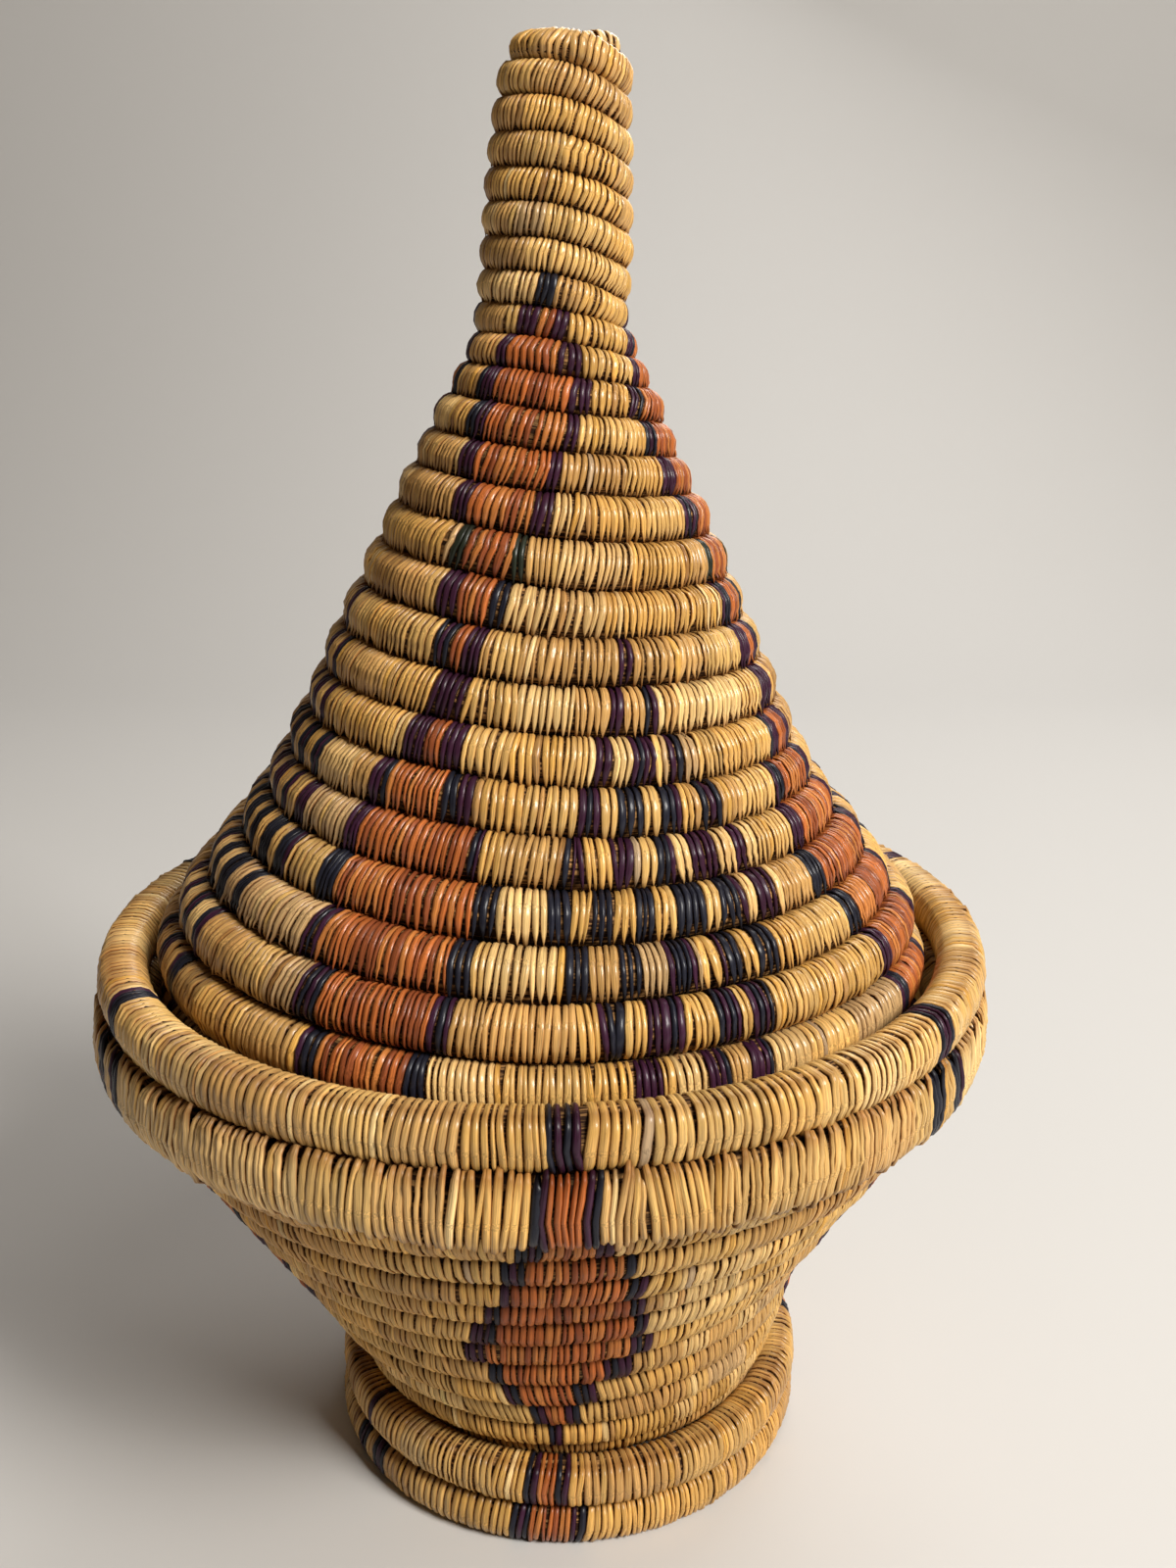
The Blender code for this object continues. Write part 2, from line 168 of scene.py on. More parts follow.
def woundCoil(line, thickness, endSpokes, out, lean):
    step = 1 / winding["fineSteps"]
    s = line["length"] - thickness(line["length"]) / 2
    table = [s]
    while s > (thickness(s) + gaps["course"]) / 2:
        s -= (thickness(s) + gaps["course"]) * step
        table.append(s)
    table = np.array(table)
    start = -1 - (len(table) - 2) * step
    tableTurns = -1 - np.arange(len(table)) * step
    turns = np.arange(round(start / step), 1) * step

    def fullAt(t):
        return np.interp(t, tableTurns[::-1], table[::-1])
    below = fullAt(turns - 1) + thickness(fullAt(turns - 1)) / 2 + gaps["course"]
    tailHalf = (line["length"] - below) / 2
    tail = turns > -1
    s = np.where(tail, line["length"] - tailHalf, fullAt(turns))
    half = np.where(tail, tailHalf, thickness(s) / 2)
    pitch = thickness(s) + gaps["course"]
    full = thickness(fullAt(-1.0)) / 2
    end = 0.0
    while np.interp(end, turns, half) < winding["thinEnd"] * full:
        end -= 1 / winding["spokes"]
    bend = lineBend(line, s, pitch)
    return {"turns": turns, "centre": lineAt(line, s), "along": lineAlong(line, s, pitch / 4), "half": half,
            "flat": 1 - winding["flatLoss"] * bend, "open": 1 - np.clip(bend / winding["openBend"], 0, 1),
            "start": start, "end": end, "turned": endSpokes / winding["spokes"], "out": out, "lean": lean}


def levelCoil(low, high, coil):
    step = 1 / winding["fineSteps"]
    rise = math.dist(low, high)
    levelStep = winding["levelStep"]

    def climb(t):
        return rise * smooth((t + 1 + levelStep) / levelStep)
    turns = np.arange(round((-2 - levelStep) / step), 1) * step
    startHalf = (climb(turns + 1) - gaps["course"]) / 2
    endHalf = (rise - climb(turns - 1) - gaps["course"]) / 2
    starting, ending = turns < -2, turns > -levelStep
    half = np.where(starting, startHalf, np.where(ending, endHalf, coil / 2))
    raised = np.where(ending, rise + coil / 2 - endHalf, climb(turns))
    place = np.where(starting, startHalf - coil / 2, raised)
    centre = np.array(low) + (np.array(high) - np.array(low)) * (place / rise)[:, None]
    # The rounds are drawn out thinner at their ends than their solids are
    thick = turns[half >= winding["thinRound"] * half.max()]
    return {"turns": turns, "centre": centre, "along": np.tile([0.0, 1.0], (len(turns), 1)), "half": half,
            "flat": np.ones(len(turns)), "open": np.ones(len(turns)), "start": thick[0], "end": thick[-1],
            "turned": 0.0, "out": 1, "lean": leanOfBody}


def bodyThickness(line):
    low, high = (share * line["length"] for share in body["thickenShares"])

    def thickness(s):
        grown = np.clip((s - low) / (high - low), 0, 1)
        return thinStart(s, body["floorCoil"] + (body["coil"] - body["floorCoil"]) * grown)
    return thickness


def lidThickness(line):
    neckHeight = lid["seatHeight"] + lid["seatDepth"] + lid["coneHeight"]
    neck = line["s"][(line["s"] >= 0) & (line["points"][:, 1] <= neckHeight)][0]
    wide = neck + lid["thickenShare"] * (line["length"] - lid["seatDepth"] - neck)

    def thickness(s):
        grown = np.clip((s - neck) / (wide - neck), 0, 1)
        return thinStart(s, lid["spireCoil"] + (lid["coil"] - lid["spireCoil"]) * grown)
    return thickness


def thinStart(s, full):
    thin = winding["startThin"]
    return full * np.minimum(1, thin + (1 - thin) * s / (winding["startLength"] * full))


bodyProfile = bodyLine()
rimLow, rimHigh = rimCentres(bodyProfile)
lidProfile = lidLine(rimHigh)
footLow = np.array([foot["radius"], foot["coil"] / 2])
footHigh = footLow + [0, foot["coil"] + gaps["course"]]
coils = {
    "foot": levelCoil(footLow, footHigh, foot["coil"]),
    "body": woundCoil(bodyProfile, bodyThickness(bodyProfile), body["endSpokes"], 1, leanOfBody),
    "rim": levelCoil(rimLow, rimHigh, rim["coil"]),
    "lid": woundCoil(lidProfile, lidThickness(lidProfile), lid["endSpokes"], -1, leanOfLid),
}
# Turns at which each coil is cut into its bundles, and the nodes that these are
cuts = {
    "foot": (), "rim": (-1.0,),
    "body": (-12.0, -9.875, -8.0, -6.375, -4.875, -3.625, -2.375, -1.25),
    "lid": (-20.125, -14.75, -11.75, -9.5, -7.75, -6.125, -4.75, -3.625, -2.5, -1.375),
}
for name, coil in coils.items():
    coil["splits"] = [coil["start"], *cuts[name], coil["end"]]
    coil["nodes"] = [f"{name}_coil_{i + 1:02d}" for i in range(len(cuts[name]) + 1)]
coils["foot"]["nodes"], coils["rim"]["nodes"] = ["foot_coil"], ["rim_coil_lower", "rim_coil_upper"]

# Hand-made unevenness of every coil: slow swells along its length
swell = {"height": 0.0004, "rates": (2.3, 5.1, 9.7, 17.3), "phase": 3.1}
# The lid's rows slope more than an even winding's: turns by which they sit lower, by course from the tip and
# by degrees from the front
lidRows = 27
slips = {
    "angles": (-180, -90, -58, -32, -15, 0, 15, 35, 60, 90, 180),
    -0.6: (0, 0, 0, 0, 0, 0, 0, 0, 0, 0, 0),
    0.6: (0.15, 0, 0, 0, 0, 0.03, 0.12, 0.26, 0.46, 0.52, 0.15),
    9.0: (0.15, 0, 0, 0, 0, 0.04, 0.14, 0.27, 0.46, 0.52, 0.15),
    11.8: (0.12, 0, 0, 0.06, 0.15, 0.25, 0.3, 0.32, 0.38, 0.42, 0.12),
    13.5: (0.08, -0.02, 0, 0.11, 0.2, 0.25, 0.27, 0.34, 0.33, 0.36, 0.08),
    15.5: (0, -0.14, -0.1, 0.02, 0.15, 0.29, 0.36, 0.37, 0.34, 0.34, 0),
    17.5: (-0.05, -0.25, -0.19, -0.07, 0.06, 0.13, 0.15, 0.18, 0.17, 0.17, -0.05),
    19.5: (-0.1, -0.4, -0.36, -0.24, -0.15, 0, 0.06, 0.11, 0.08, 0.08, -0.1),
    21.5: (-0.12, -0.44, -0.4, -0.27, -0.16, -0.09, -0.02, 0, -0.07, -0.08, -0.12),
    22.5: (-0.1, -0.35, -0.3, -0.22, -0.08, 0, 0, -0.02, 0, 0, -0.1),
    23.5: (-0.05, -0.2, -0.18, -0.12, 0, 0.06, 0.05, 0.04, -0.06, -0.05, -0.05),
    24.5: (0, -0.1, -0.1, -0.1, -0.04, 0.03, 0, -0.04, -0.05, 0, 0),
    26.2: (0, 0, 0, 0, 0, 0, 0, 0, 0, 0, 0),
}
# The rim's upper coil is the thinner one. Pairs are for the lower and the upper coil, in shares of the half
# size, but down and seal are metres: the seal is where the bundle closes the gap over the wall's last round
rimShape = {"from": -1.16, "to": -1.0, "half": (1.15, 0.865), "out": (-0.10, 0.15), "up": (0.15, 0.135),
            "down": (0.0004, 0.0), "seal": 0.0009}


def signedAngle(degrees):
    return (degrees + 180) % 360 - 180


def frontAngle(coil, turn):
    # Degrees round from the front, to the viewer's right
    return signedAngle(math.degrees(winding["endAzimuth"]) + (turn + coil["turned"]) * 360 + 90)


def between(pairs, keys, share):
    # Values that lie this share of the way from the first to the second of each pair
    return [pairs[key][0] + (pairs[key][1] - pairs[key][0]) * share for key in keys]


def slipAt(coil, turns):
    slip = np.zeros(np.shape(turns))
    if coil["out"] > 0:
        return slip
    course = lidRows + turns + coil["turned"] + 0.5
    knots = [key for key in slips if key != "angles"]
    for knot, weights in zip(knots, np.eye(len(knots))):
        share = np.interp(course, knots, weights)
        slip += share * np.interp(frontAngle(coil, turns), slips["angles"], slips[knot])
    return slip


def sectionAt(coil, turns):
    # Centre, outward and onward directions, and half sizes of the coil at each turn
    placed = turns + slipAt(coil, turns)
    look = {key: np.interp(placed, coil["turns"], coil[key]) for key in ("half", "flat", "open")}
    centre, along = (np.stack([np.interp(placed, coil["turns"], coil[key][:, i]) for i in (0, 1)], axis=-1)
                     for key in ("centre", "along"))
    outward = coil["out"] * np.stack([along[..., 1], -along[..., 0]], axis=-1)
    look["half"] = look["half"] * (1 + (slipAt(coil, turns + 1) - slipAt(coil, turns - 1)) / 2)
    if coil is coils["rim"]:
        share = smooth((turns - rimShape["from"]) / (rimShape["to"] - rimShape["from"]))
        grown, out, up, down = between(rimShape, ("half", "out", "up", "down"), share)
        centre += np.stack([out * look["half"], up * look["half"] - down], axis=-1)
        look["half"] = look["half"] * grown
    lift = sum(np.sin(turns * rate + rate * swell["phase"]) for rate in swell["rates"]) * swell["height"] / 2
    if coil["out"] < 0:     # the spire's last rows are drawn in
        up = np.clip((centre[..., 1] - lid["tuckFrom"]) / lid["tuckHeight"], 0, 1)
        centre[..., 0] *= 1 - lid["tuck"] * up ** lid["tuckPower"]
    return {"centre": centre + outward * lift[..., None], "along": along, "outward": outward, **look}


def spotAt(coil, turns, out, on):
    # Points in space, out and on being metres from the coil's centre line at each turn
    look = sectionAt(coil, turns)
    p = look["centre"] + look["outward"] * out[..., None] + look["along"] * on[..., None]
    azimuth = winding["endAzimuth"] + (turns + coil["turned"]) * math.tau
    r, z = p[..., 0], p[..., 1]
    return np.stack([r * np.cos(azimuth) + coil["lean"](z), r * np.sin(azimuth), z], axis=-1)


# Colours of the bound strips, linear
reed = {
    "pale": (0.86, 0.61, 0.27), "straw": (0.72, 0.45, 0.145), "golden": (0.70, 0.39, 0.09),
    "tan": (0.54, 0.30, 0.10), "brown": (0.34, 0.17, 0.05), "grey": (0.47, 0.33, 0.19),
    "aubergine": (0.044, 0.0125, 0.033), "navy": (0.0145, 0.0155, 0.026), "green": (0.024, 0.030, 0.020),
    "orange": (0.47, 0.135, 0.033), "amber": (0.54, 0.195, 0.048), "rust": (0.29, 0.078, 0.026),
}
naturals = {
    "foot": (("straw", 3), ("tan", 3), ("golden", 2), ("pale", 1), ("brown", 0.8)),
    "body": (("straw", 3), ("tan", 3), ("golden", 3), ("pale", 1.2), ("grey", 0.3)),
    "rim": (("straw", 3.5), ("pale", 3.2), ("tan", 1.7), ("golden", 2.2), ("grey", 0.4)),
    "lid": (("straw", 3), ("tan", 2.5), ("golden", 3), ("pale", 1.3), ("brown", 0.8), ("grey", 0.5)),
}
dyes = {"dark": (("aubergine", 3), ("navy", 3)), "plum": (("aubergine", 6), ("navy", 1)),
        "ink": (("aubergine", 1), ("navy", 5)), "orange": (("orange", 4), ("amber", 2), ("rust", 2.2))}
# Which dark dye the lid's courses have, the rest being mixed, and the course whose dark flame is green
darkest = {**dict.fromkeys((9, 10, 13, 14, 17, 18, 19, 21), "plum"), 22: "ink", 23: "ink"}
greenCourse = 15

# The pattern, course by course: degrees from the front where dark, orange, dark and plain begin
flame = {
    8: (-10.9, None, None, 0.2), 9: (-24.3, -11.8, 0, 11.8), 10: (-32.9, -24.4, 7.2, 18.9),
    11: (-42.2, -31.5, 14.6, 24.7), 12: (-39.2, -29.8, 7.7, 14.1), 13: (-37.5, -28.1, 1.8, 7.4),
    14: (-32.5, -25.4, -3, 2.6), 15: (-29.7, -24.9, -9, -5.2), 16: (-29.4, -23.7, -13.8, -9.5),
    17: (-28.3, -22.3, -18.3, -13.8), 18: (-25.5, None, None, -17.3), 19: (-28.6, -24.2, -19.2, -15.3),
    20: (-35.5, -30.7, -17.8, -12), 21: (-36.8, -33.1, -11.2, -8.8), 22: (-38.8, -35, -9.1, -5.2),
    23: (-35.8, -31.8, -11, -8.1), 24: (-32.9, -29.5, -13.1, -10.3), 25: (-30.6, -27.7, -14.8, -12.3),
    26: (-27, None, None, -17),
}
checks = {
    17: ((19.2, 22.8),), 18: ((15.4, 19.2), (24.2, 28.2)), 19: ((11.4, 15.4), (19, 24.5), (28.2, 32)),
    20: ((8.6, 12.4), (16.2, 20.3), (23.7, 28.4), (32.8, 37.5)),
    21: ((5, 8.2), (13, 16.7), (21, 25.2), (28.4, 33.7), (37, 40.3)),
    22: ((2.4, 5.7), (8.7, 12.6), (16.1, 19.7), (22.4, 28.2), (30.6, 35.9), (38.2, 42.2)),
    23: ((5.1, 8.2), (12.2, 15.6), (19, 23.2), (27.1, 31.4), (33.4, 37.2)),
    24: ((9, 12), (15.1, 19.7), (23.7, 27.2), (29.5, 32.7)),
    25: ((12.4, 15.8), (21.5, 24.8), (27.6, 31.2)), 26: ((17, 20), (24, 27)),
}
diamond = {
    1: (-1.4, 1.2, 7.5, 9.8), 2: (-3.2, -0.5, 10.8, 12.7), 3: (-4.8, -2.5, 12.7, 15),
    4: (-7.6, -4.4, 13.4, 16.6), 5: (-10.1, -6.5, 14.9, 18.4), 6: (-12.8, -8.8, 16.2, 20.4),
    7: (-10.3, -7, 12.5, 16.8), 8: (-9.4, -5.3, 5.8, 9.9), 9: (-6.1, -2.4, 1.7, 5.1),
    10: (-3, None, None, 0.4),
}
# Degrees from the front at which each copy of the pattern stands, degrees that it may reach to each side, and
# how many of the body's turns from the top it may have
copies = {"lid": (0, 90, 180, -90), "body": (0, 54, 138, -142, -60)}
reaches = {"lid": 46, "body": 30}
wallTurns = 11
leans = {54: 3.0, -60: -1.6}        # degrees by which a diamond's next course stands on from the last
stripes = {         # radius at which they are measured, and by degrees from the front what is in the middle
    "rim": {"radius": 0.168,
            "middles": {4: "orange", 54: "plain", 112: "orange", 170: "plain", -110: "plain", -59: "plain"}},
    "foot": {"radius": 0.0955,
             "middles": {-4: "orange", -55: "plain", -142: "orange", 98: "orange", 160: "plain"}},
}
stripeEdges = {         # metres from the stripe's middle, to the viewer's right
    "rimSingle": (-0.0050, None, None, 0.0050), "rimPair": (-0.0125, -0.0036, 0.0036, 0.0125),
    "footSingle": (-0.0030, None, None, 0.0030), "footPair": (-0.0105, -0.0026, 0.0026, 0.0105),
    "rimTop": (-0.0050, None, None, 0.0050), "rimLow": (-0.0100, -0.0055, 0.0045, 0.0105),
    "footTop": (-0.0082, -0.0030, 0.0030, 0.0082), "footLow": (-0.0145, -0.0078, 0.0075, 0.0145),
}


def within(edges, x, middle="orange"):
    first, second, third, last = edges
    if not first <= x < last:
        return "plain"
    if second is not None and second <= x < third:
        return middle
    return "dark"


def evenSquares(squares):
    # The other sides' squares are more regular than those of the front
    step = (squares[-1][1] - squares[0][0]) / (2 * len(squares) - 1)
    return [(squares[0][0] + 2 * i * step, squares[0][0] + (2 * i + 1) * step) for i in range(len(squares))]


def courseAt(coil, turn):
    # Which course of the pattern a turn belongs to, counted down from the end or the tip
    steps = round(-turn - coil["turned"] - 0.5)
    return steps if coil["out"] > 0 else lidRows - steps


def dyeAt(name, coil, turn):
    # Which dye the strip at this turn has
    angle = frontAngle(coil, turn)
    if name in stripes:
        top = turn > -1
        for place, middle in stripes[name]["middles"].items():
            kind = ("Single" if top else "Pair") if middle == "plain" else ("Top" if top else "Low")
            x = math.radians(signedAngle(angle - place)) * stripes[name]["radius"]
            dye = within(stripeEdges[name + kind], x, middle)
            if dye != "plain":
                return dye
        return "plain"
    for copy in copies[name]:
        x = signedAngle(angle - copy)
        course = courseAt(coil, turn - (x + copy) / 360)
        dark = darkest.get(course, "dark")
        if name == "body":
            x -= leans.get(copy, 0) * (course - 1)
            if abs(x) < reaches[name] and turn > -wallTurns and course in diamond:
                return within(diamond[course], x)
            continue
        if abs(x) < reaches[name] and course in flame:
            dye = within(flame[course], x)
            if dye == "dark":
                return "green" if course == greenCourse else dark
            if dye != "plain":
                return dye
        squares = checks.get(course, ())
        if copy and squares:
            squares = evenSquares(squares)
        if any(first <= x < last for first, last in squares):
            return dark
    return "plain"


# How a strip wraps its coil: out and on shares of the half sizes, and the share of its width, once round
evenOver = ((1, 0, 1), (0.965, 0.28, 1), (0.875, 0.52, 0.98), (0.75, 0.72, 0.95), (0.57, 0.87, 0.90),
            (0.32, 0.98, 0.86), (0, 1.0, 0.86), (-0.34, 0.96, 0.92), (-0.66, 0.8, 1), (-0.91, 0.44, 1),
            (-1, 0, 1), (-0.91, -0.44, 1), (-0.66, -0.8, 1))
bulgingUnder = ((-1, 0, 1), (-0.9, -0.46, 1), (-0.6, -0.82, 1), (-0.2, -1.0, 1), (0.14, -1.03, 0.80),
                (0.42, -1.03, 0.84), (0.64, -0.93, 0.95), (0.82, -0.72, 1.02), (0.94, -0.42, 1.03),
                (0.99, -0.2, 1.01))
wraps = {
    "reaching": ((1, 0, 1), (0.965, 0.27, 0.97), (0.87, 0.50, 0.90), (0.775, 0.68, 0.78), (0.715, 0.84, 0.60),
                 (0.665, 0.99, 0.36), (0.615, 1.12, 0.10), (0.42, 1.07, 0.14), (0.15, 1.02, 0.4),
                 (-0.28, 0.97, 0.9), (-0.64, 0.79, 1), (-0.91, 0.44, 1), (-1, 0, 1), (-0.91, -0.44, 1),
                 (-0.64, -0.79, 1), (-0.2, -0.99, 1), (0.27, -0.985, 0.90), (0.57, -0.86, 0.88),
                 (0.81, -0.61, 0.95), (0.955, -0.31, 1)),
    "tucked": ((1, 0, 1), (0.965, 0.28, 1), (0.885, 0.52, 1.0), (0.77, 0.72, 0.93), (0.64, 0.88, 0.76),
               (0.46, 1.0, 0.45), (0.22, 1.03, 0.25), (-0.16, 1.0, 0.6), (-0.56, 0.85, 1), (-0.9, 0.46, 1),
               *bulgingUnder),
    "locked": ((1, 0, 1), (0.98, 0.30, 1.02), (0.945, 0.56, 1.04), (0.90, 0.80, 1.02), (0.82, 1.02, 0.96),
               (0.64, 1.18, 0.75), (0.36, 1.08, 0.4), (0, 1.0, 0.4), (-0.5, 0.88, 0.95), (-0.88, 0.48, 1),
               *bulgingUnder),
    "hung": (*evenOver, (-0.3, -0.97, 0.80), (0.05, -1.0, 0.50), (0.36, -0.98, 0.48), (0.60, -0.88, 0.70),
             (0.77, -0.71, 0.90), (0.885, -0.50, 0.98), (0.968, -0.27, 1)),
    "round": (*evenOver, (-0.34, -0.96, 0.92), (0, -1.0, 0.86), (0.32, -0.98, 0.86), (0.57, -0.87, 0.90),
              (0.75, -0.72, 0.95), (0.875, -0.52, 0.98), (0.965, -0.28, 1)),
}
strips = {      # pairs are for the coil's start and its end, wraps give the turn at which the wrap changes
    "foot": {"pitch": (0.0026, 0.0027), "fill": 1.01, "loose": 0.13, "uneven": 0.12, "crown": 0.00070,
             "slant": (0.04, 0.04), "narrow": (0.3, 0.3), "square": 0.80, "wraps": ("round", 0, "round")},
    "body": {"pitch": (0.0024, 0.0027), "fill": 1.00, "loose": 0.15, "uneven": 0.13, "crown": 0.00064,
             "slant": (0.04, 0.04), "narrow": (0.5, 0.8), "square": 0.72, "wraps": ("round", -13, "tucked")},
    "rim": {"pitch": (0.0024, 0.0028), "fill": 1.01, "loose": 0.14, "uneven": 0.15, "crown": 0.00085,
            "slant": (0.02, 0.02), "narrow": (0.8, 0.4), "square": 0.72, "wraps": ("locked", -1.05, "hung")},
    "lid": {"pitch": (0.0022, 0.0024), "fill": 1.01, "loose": 0.15, "uneven": 0.15, "crown": 0.00064,
            "slant": (-0.30, -0.04), "narrow": (0.7, 1.0), "square": 0.88,
            "wraps": ("reaching", -1.1, "round")},
}
# How much one strip and one run of strips differ from the next, and the limits of this
varied = {"run": (4, 15), "spacing": (0.6, 1.5), "runPitch": 0.16, "runSlant": 0.05, "slant": 0.03,
          "runBow": 0.00020, "bow": 0.00009, "runTilt": 0.00010, "tilt": 0.00007, "crown": 0.13,
          "sink": 0.00026, "narrow": 0.2, "narrowest": 1.15, "reach": 0.16, "runTone": 0.07, "tone": 0.08,
          "even": 0.45, "colours": (0.008, 0.95), "oddOne": 0.08, "fill": 0.03, "gap": 0.04, "gapFill": 0.6,
          "dyedGap": 0.12, "runKink": 0.017, "kink": 0.012, "crease": (0.4, 1), "fullHalf": 0.0052,
          "leastRadius": 0.004}
stripShape = {"across": (-1.0, -0.78, -0.4, 0.0, 0.4, 0.78, 1.0), "edgePower": 2.6, "under": 0.00035,
              "underEdge": 0.9, "creases": ((0, 0, 0), (0, 1, 0), (1, 0, 0), (0, 0, 1), (1, 0, 0.7)),
              "crease": 0.00026, "tipFrom": 0.6, "tipOut": 0.5, "sunk": 0.45, "leastRise": 0.35,
              "grooveFrom": 0.7, "grooveOver": 0.4}
# The fibre bundle: steps for a turn and sides of its mesh, how far it lies under the strips in shares of their
# crown, and a ridge that meets the next turn's, so that no light comes through
bundle = {"steps": 60, "leastSteps": 6, "sides": 20, "trim": 0.0004, "under": 1.5, "beside": 0.5,
          "ridge": 0.4, "ridgePower": 16, "girth": 6}
strandScale = 100       # of the lengths along a strip or bundle, for their looks


def pick(rng, weighted):
    names = [name for name, _ in weighted]
    weights = np.array([weight for _, weight in weighted], float)
    return names[int(rng.choice(len(names), p=weights / weights.sum()))]


def layStrips(name, coil, rng):
    # Walks along the coil and notes every strip's place, size, lean, wrap and colour
    settings, creases, stations = strips[name], stripShape["creases"], len(wraps["round"])
    before, change, after = settings["wraps"]
    weights = np.array([weight for _, weight in naturals[name]])
    base = (np.array([reed[dye] for dye, _ in naturals[name]]) * weights[:, None]).sum(axis=0) / weights.sum()
    rows, turn, left = [], coil["start"], 0
    while turn < coil["end"]:
        look = sectionAt(coil, np.array([turn]))
        half, radius = look["half"][0], look["centre"][0, 0]
        perTurn = math.tau * max(varied["leastRadius"], radius + half * max(0.0, look["outward"][0, 0]))
        share = (turn - coil["start"]) / (coil["end"] - coil["start"])
        if name == "rim":
            share = 1.0 if turn > -1 else 0.0
        pitch, slant, narrow = between(settings, ("pitch", "slant", "narrow"), share)
        if left <= 0:
            left = int(rng.integers(*varied["run"]))
            picked = np.array(reed[pick(rng, naturals[name])])
            tone = base * varied["even"] + picked * (1 - varied["even"])
            tone = tone * (1 + varied["runTone"] * rng.standard_normal())
            slack, runSlant, runBow, runTilt = rng.random() ** 2, *rng.standard_normal(3)
            runPitch = 1 + varied["runPitch"] * (2 * rng.random() - 1)
            runKink = rng.standard_normal(stations)
        left -= 1
        uneven = np.clip(1 + settings["uneven"] * rng.standard_normal(), *varied["spacing"])
        spacing = pitch * runPitch * uneven
        halfStep = spacing / 2 / perTurn
        dye = dyeAt(name, coil, turn + halfStep)
        loose = settings["loose"] * slack + (dye != "plain") * varied["dyedGap"]
        fill = settings["fill"] - loose * rng.random() - varied["fill"] * rng.random()
        if rng.random() < varied["gap"]:
            fill = varied["gapFill"]
        if dye == "plain":
            colour = tone
            if rng.random() < varied["oddOne"]:
                colour = np.array(reed[pick(rng, naturals[name])])
        else:
            colour = np.array(reed["green" if dye == "green" else pick(rng, dyes[dye])])
        colour = colour * (1 + varied["tone"] * rng.standard_normal())
        size = min(1.0, half / varied["fullHalf"])
        rows.append({
            "turn": turn + halfStep, "halfWidth": halfStep * fill, "perTurn": perTurn,
            "slant": slant + varied["runSlant"] * runSlant + varied["slant"] * rng.standard_normal(),
            "bow": varied["runBow"] * runBow + varied["bow"] * rng.standard_normal(),
            "crown": settings["crown"] * (1 + varied["crown"] * rng.standard_normal()) * size,
            "sink": varied["sink"] * rng.random() * size, "seed": rng.random(),
            "kink": varied["runKink"] * runKink + varied["kink"] * rng.standard_normal(stations),
            "tilt": varied["runTilt"] * runTilt + varied["tilt"] * rng.standard_normal(),
            "crease": np.array(creases[rng.integers(len(creases))]) * rng.uniform(*varied["crease"]),
            "narrow": np.clip(narrow + varied["narrow"] * rng.standard_normal(), 0, varied["narrowest"])
                      * look["open"][0],
            "reach": 1 + varied["reach"] * rng.standard_normal(), "square": settings["square"],
            "path": np.array(wraps[before if turn < change else after]),
            "colour": np.clip(colour, *varied["colours"])})
        turn += spacing / perTurn
    return {key: np.array([row[key] for row in rows]) for key in rows[0]}


